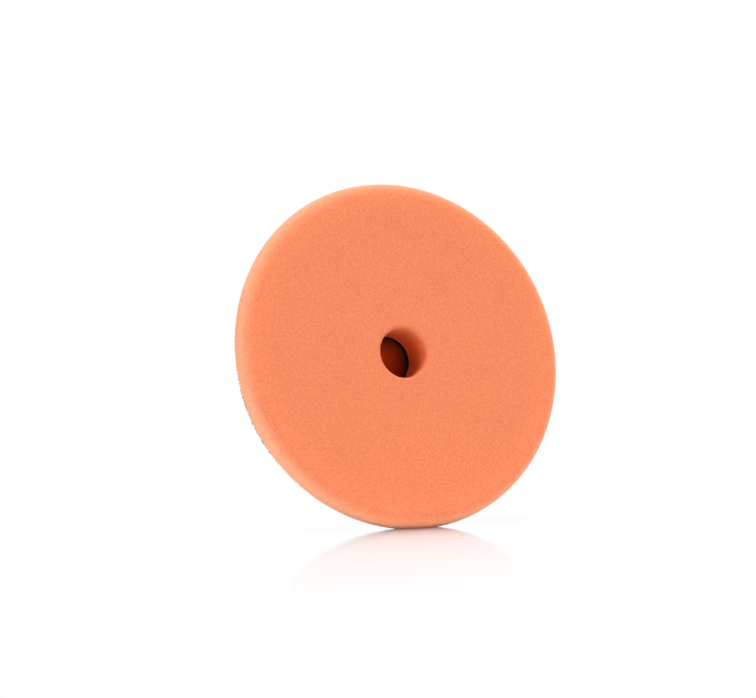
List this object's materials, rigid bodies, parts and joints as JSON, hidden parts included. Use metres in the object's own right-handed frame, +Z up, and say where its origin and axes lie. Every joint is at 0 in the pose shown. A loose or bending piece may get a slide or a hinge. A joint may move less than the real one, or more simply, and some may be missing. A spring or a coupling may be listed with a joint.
{
  "type": "polishing pad",
  "caption": "Round foam polishing pad with a rounded working edge, a side that draws in, a centre hole and a loop backing that sticks to the hook face of a polisher's plate.",
  "frame": {"origin": "centre of the loop face, on the pad's spin axis", "axes": "+Y along the spin axis, out of the loop face towards the backing plate; the working face looks along -Y; +Z up with the pad standing on edge"},
  "size_m": [0.15, 0.0212, 0.15],
  "materials": {
    "foam": "matte",
    "adhesive": "satin",
    "cloth": "matte",
    "loops": "matte"
  },
  "bodies": {
    "root": {"foam_disc": "foam", "adhesive_film": "adhesive", "backing_cloth": "cloth", "loop_pile": "loops"}
  },
  "joints": []
}
